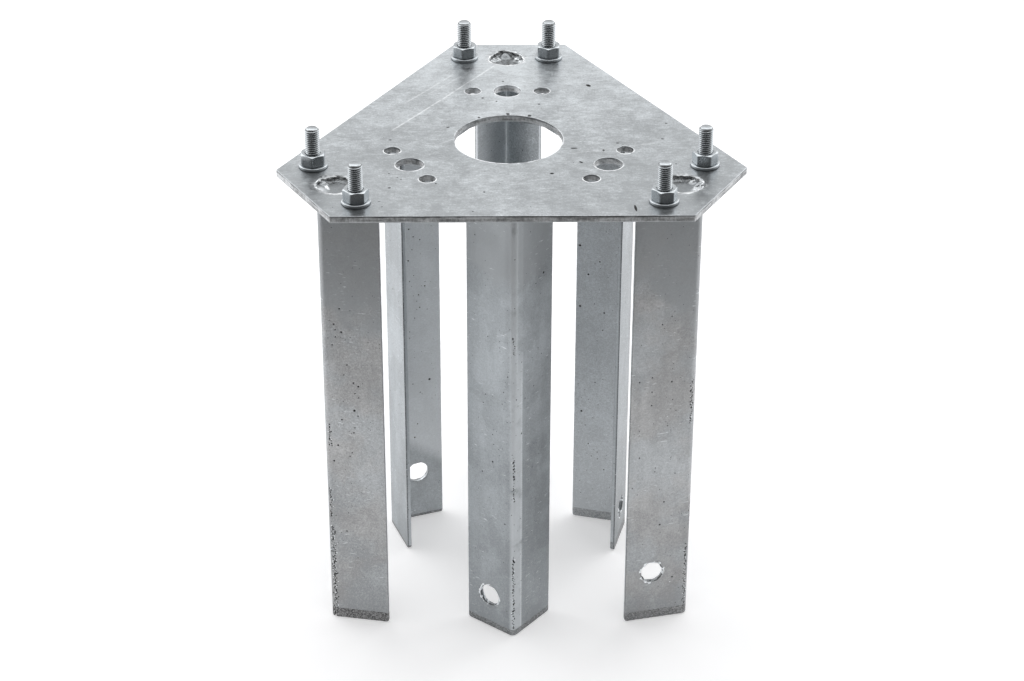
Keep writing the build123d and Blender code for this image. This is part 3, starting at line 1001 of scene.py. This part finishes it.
def turned(name, steps, section):
    """A closed form turned about Z. section gives each angle its own (radius, height) line."""
    lines = [section(2 * pi * i / steps) for i in range(steps)]
    rows = len(lines[0])
    spots, polygons = [], []
    for i, line in enumerate(lines):
        angle = 2 * pi * i / steps
        spots += [(r * cos(angle), r * sin(angle), z) for r, z in line]
    for i in range(steps):
        j = (i + 1) % steps
        for k in range(rows):
            m = (k + 1) % rows
            if k == rows - 1 and lines[0][0][0] == 0:
                continue
            polygons.append([i * rows + k, j * rows + k, j * rows + m, i * rows + m])
    return placed(name, smooth_mesh(name, spots, polygons))


def hexagon_radius(angle):
    """Distance from the middle to a hexagon's side, its corners a little rounded."""
    off = angle % (pi / 3) - pi / 6
    return min(hexagon / 2 / cos(off), hexagon / sqrt(3) - hexagon_round)


def bolt_section(angle):
    """From the middle of the head's underside, up its side and the thread, to the end's middle."""
    side = hexagon_radius(angle)
    seat, bottom = -plate_thickness, -plate_thickness - head_height
    line = [(0, bottom), (crown, bottom), (side, bottom + (side - crown) * crown_slope),
            (side, seat), (crest, seat), (crest, thread_start)]
    level = thread_start
    while level < bolt_top - 0.05:
        level += pitch / 10
        turn = (level / pitch - angle / (2 * pi)) % 1

        # Half of a thread's turn runs from the root's flat up its flank to the crest's flat
        cut = max(0, min(1, (abs(turn - 0.5) - 0.08) / 0.34))
        radius = crest - thread_depth * (1 - cut)
        end = crest - end_chamfer + bolt_top - min(level, bolt_top)
        line.append((min(radius, end), min(level, bolt_top)))
    line.append((0, bolt_top))
    return line


def set_out(name, form, finish, turns, level):
    """One mesh of the six like pieces, one at each stud, by a Geometry Nodes tree."""
    points = bpy.data.meshes.new(f"{name}_points")
    places = []
    for place in turns:
        low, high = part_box(f"washer_{place}")
        places.append(((low.x + high.x) / 2, (low.y + high.y) / 2, level * mm))
    points.from_pydata(places, [], [])
    note(points, "turn", [radians(turn) for turn in turns.values()])
    holder = placed(name, points)

    tree = bpy.data.node_groups.new(f"{name}_set_out", "GeometryNodeTree")
    for label, kind in (("Points", "Geometry"), ("Form", "Object"), ("Finish", "Material")):
        tree.interface.new_socket(label, in_out="INPUT", socket_type=f"NodeSocket{kind}")
    tree.interface.new_socket("Pieces", in_out="OUTPUT", socket_type="NodeSocketGeometry")
    given, result, source, turn, about_z, spin, copies, real, painted = (
        tree.nodes.new(kind) for kind in (
            "NodeGroupInput", "NodeGroupOutput", "GeometryNodeObjectInfo",
            "GeometryNodeInputNamedAttribute", "ShaderNodeCombineXYZ", "FunctionNodeEulerToRotation",
            "GeometryNodeInstanceOnPoints", "GeometryNodeRealizeInstances", "GeometryNodeSetMaterial"))
    turn.data_type = "FLOAT"
    turn.inputs["Name"].default_value = "turn"
    for start, end in (
        (given.outputs["Form"], source.inputs["Object"]),
        (turn.outputs["Attribute"], about_z.inputs["Z"]),
        (about_z.outputs["Vector"], spin.inputs["Euler"]),
        (given.outputs["Points"], copies.inputs["Points"]),
        (source.outputs["Geometry"], copies.inputs["Instance"]),
        (spin.outputs["Rotation"], copies.inputs["Rotation"]),
        (copies.outputs["Instances"], real.inputs["Geometry"]),
        (real.outputs["Geometry"], painted.inputs["Geometry"]),
        (given.outputs["Finish"], painted.inputs["Material"]),
        (painted.outputs["Geometry"], result.inputs["Pieces"]),
    ):
        tree.links.new(start, end)
    modifier = holder.modifiers.new("set out", "NODES")
    modifier.node_group = tree
    inputs = {"Form": form, "Finish": finish}
    for item in tree.interface.items_tree:
        if item.name in inputs:
            modifier[item.identifier] = inputs[item.name]
    bpy.context.view_layer.update()
    seen = holder.evaluated_get(bpy.context.evaluated_depsgraph_get())
    made = bpy.data.meshes.new_from_object(seen)
    bpy.data.objects.remove(holder)
    bpy.data.objects.remove(form)
    made.name = name
    piece = placed(name, made)
    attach(piece, "root")
    return piece


def plated(name, low, high, sheen):
    """Bright zinc plate, a little clouded, with painted shade at the root of a thread and just above
    the plate, on a washer's lower side.
    """
    paint = Paint(name)
    clouds = paint.cloud(4, 3)
    fine = paint.cloud(0.8, 2, shift=4)
    colour = paint.mixed(grey(low, 0.05), grey(high, 0.05), clouds * 0.7 + fine * 0.3)
    up = paint.axis("Z")
    # Painted shade on the lowest millimetre above the plate, where a washer's side stands on it
    foot = up.rise(1.2 * mm, 0.3 * mm) * up.rise(-0.5 * mm, 0)
    colour = paint.mixed(colour, grey(0.06), paint.mark("root").rise(0.35, 0.85).most(foot) * 0.75)
    return paint.finish(colour, clouds.swing(0.15) + sheen, fine * 0.4 + clouds * 0.6, 0.015)


# How far each nut and each bolt head is turned, in degrees
nut_turns = {"back_left": 22, "back_right": 27, "left_front": 10, "left_rear": 30,
             "right_front": 10, "right_rear": 50}
head_turns = {"back_left": 105, "back_right": 15, "left_front": 233, "left_rear": 143,
              "right_front": 247, "right_rear": 337}
bolt = turned("bolt_form", 36, bolt_section)
# Painted shade in the thread: how deep each point lies below the crest
root_shades = []
for vertex in bolt.data.vertices:
    place = vertex.co / mm
    threaded = thread_start < place.z < bolt_top - 0.6
    root_shades.append((crest - place.xy.length) / thread_depth if threaded else 0)
note(bolt.data, "root", root_shades)
bolt_finish = plated("bolt_zinc_plate", 0.34, 0.54, 0.30)
bolts = set_out("bolts_threaded", bolt, bolt_finish, head_turns, 0)
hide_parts("bolts")


# Washers
# Plain washers of zinc-plated steel, one under each nut. They were stamped from sheet, and the punch
# rolled their upper rim over.
washer_height = 2.5


def washer_section(angle):
    """A washer is the same at each angle, from its bore out and back over its top."""
    return [(6.5, 2.2), (6.5, 0.3), (6.7, 0), (11.8, 0), (12, 0.2), (12, 1.9), (11.85, 2.25),
            (11.4, washer_height), (6.8, washer_height)]


washer = turned("washer_form", 64, washer_section)
washer_finish = plated("washer_zinc_plate", 0.36, 0.56, 0.30)
washers = set_out("washers_stamped", washer, washer_finish, dict.fromkeys(nut_turns, 0), 0)
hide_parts(*[f"washer_{place}" for place in nut_turns])


# Nuts
# Forged hexagon nuts of zinc-plated steel, crowned on both faces. They hold the bolts in the plate
# and were left where the spanner stopped.
nut_height, nut_bore = 10, 6.1


def nut_section(angle):
    """Up from the bore's top edge, down the bore, out under the nut and back over its top."""
    side = hexagon_radius(angle)
    fall = (side - crown) * crown_slope
    return [(nut_bore, nut_height - 0.6), (nut_bore, 0.6), (nut_bore + 0.6, 0), (crown, 0),
            (side, fall), (side, nut_height - fall), (crown, nut_height),
            (nut_bore + 0.6, nut_height)]


nut = turned("nut_form", 72, nut_section)
edges = nut.modifiers.new("edges", "BEVEL")
edges.width, edges.segments, edges.limit_method = 0.18 * mm, 2, "ANGLE"
edges.angle_limit = radians(25)
edges.harden_normals = True
nut_finish = plated("nut_zinc_plate", 0.36, 0.54, 0.28)
nuts = set_out("nuts_crowned", nut, nut_finish, nut_turns, washer_height)
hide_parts("nuts")


# Floor, light and camera
# A white table under soft boxes, seen from above the front long side. The table glows only for the
# camera and in bright metal, so that it shows white without more light on the steel.
table_side, table_front, table_back = 2.5, -0.62, 3.5
table_top = cad_box[0][2] - 0.0005
floor_mesh = bpy.data.meshes.new("floor")
floor_mesh.from_pydata([(-table_side, table_front, table_top), (table_side, table_front, table_top),
                        (table_side, table_back, table_top), (-table_side, table_back, table_top)],
                       [], [(0, 1, 2, 3)])
floor = placed("floor", floor_mesh)
paint = Paint("white_table")
kind = paint.node("ShaderNodeLightPath")
diffuse = paint.node("ShaderNodeBsdfDiffuse", {}, {"Color": (0.8, 0.8, 0.81, 1)})["BSDF"]
seen = kind["Is Camera Ray"].most(kind["Is Glossy Ray"])
glow = paint.node("ShaderNodeEmission", {}, {"Strength": seen * 0.35})["Emission"]
both = paint.node("ShaderNodeAddShader", {}, {0: diffuse, 1: glow})["Shader"]
paint.node("ShaderNodeOutputMaterial", {}, {"Surface": both})
floor_mesh.materials.append(paint.material)

room = Paint("studio", world=True)
bpy.context.scene.world = room.material
kind = room.node("ShaderNodeLightPath")
front = room.axis("Y").rise(0.1, -0.6)
seen_in_metal = 1 - front * 0.86
plain = kind["Is Camera Ray"].most(kind["Is Transmission Ray"])
strength = plain + (1 - plain) * (kind["Is Glossy Ray"] * seen_in_metal
                                  + (1 - kind["Is Glossy Ray"]) * 0.55)
light = room.node("ShaderNodeBackground", {}, {"Color": (1, 1, 1, 1), "Strength": strength})
room.node("ShaderNodeOutputWorld", {}, {"Surface": light["Background"]})


def soft_box(name, spot, size, power):
    """A square soft light that faces the object and doesn't show in the picture."""
    lamp = bpy.data.lights.new(name, "AREA")
    lamp.shape, lamp.size, lamp.energy = "SQUARE", size, power
    light = placed(name, lamp)
    light.location = spot
    light.rotation_euler = (Vector((0, 0, -0.15)) - Vector(spot)).to_track_quat("-Z", "Y").to_euler()
    light.visible_camera = False


soft_box("overhead", (0.1, 0.5, 1.9), 2.4, 22)
soft_box("left_back", (-1.6, 0.9, 0.9), 1.9, 16)
soft_box("right_back", (1.6, 1.1, 0.7), 1.7, 12)

# The camera as it was fitted to the photo: its tilts, how far it stands back along its own line of
# sight from a point by the mast's axis, in metres, and its lens
pitch_down, roll, yaw = radians(30.452), radians(0.174), radians(-0.795)
stand_back, aim = 2.2822, Vector((0.003386, 0, -0.19367))
focal_length, film_width, sight = 92.84, 36, 50

forward = Vector((0, cos(pitch_down), -sin(pitch_down)))
level = Vector((1, 0, 0))
upward = level.cross(forward)
right = level * cos(roll) + upward * sin(roll)
top = upward * cos(roll) - level * sin(roll)
about_z = Matrix.Rotation(yaw, 3, "Z")
placing = Matrix([about_z @ axis for axis in (right, top, -forward)]).transposed().to_4x4()
placing.translation = about_z @ (aim - forward * stand_back)
lens = bpy.data.cameras.new("camera")
lens.lens, lens.sensor_width, lens.clip_end = focal_length, film_width, sight
camera = placed("camera", lens)
camera.matrix_world = placing
bpy.context.scene.camera = camera
bpy.context.scene.view_settings.view_transform = "Standard"
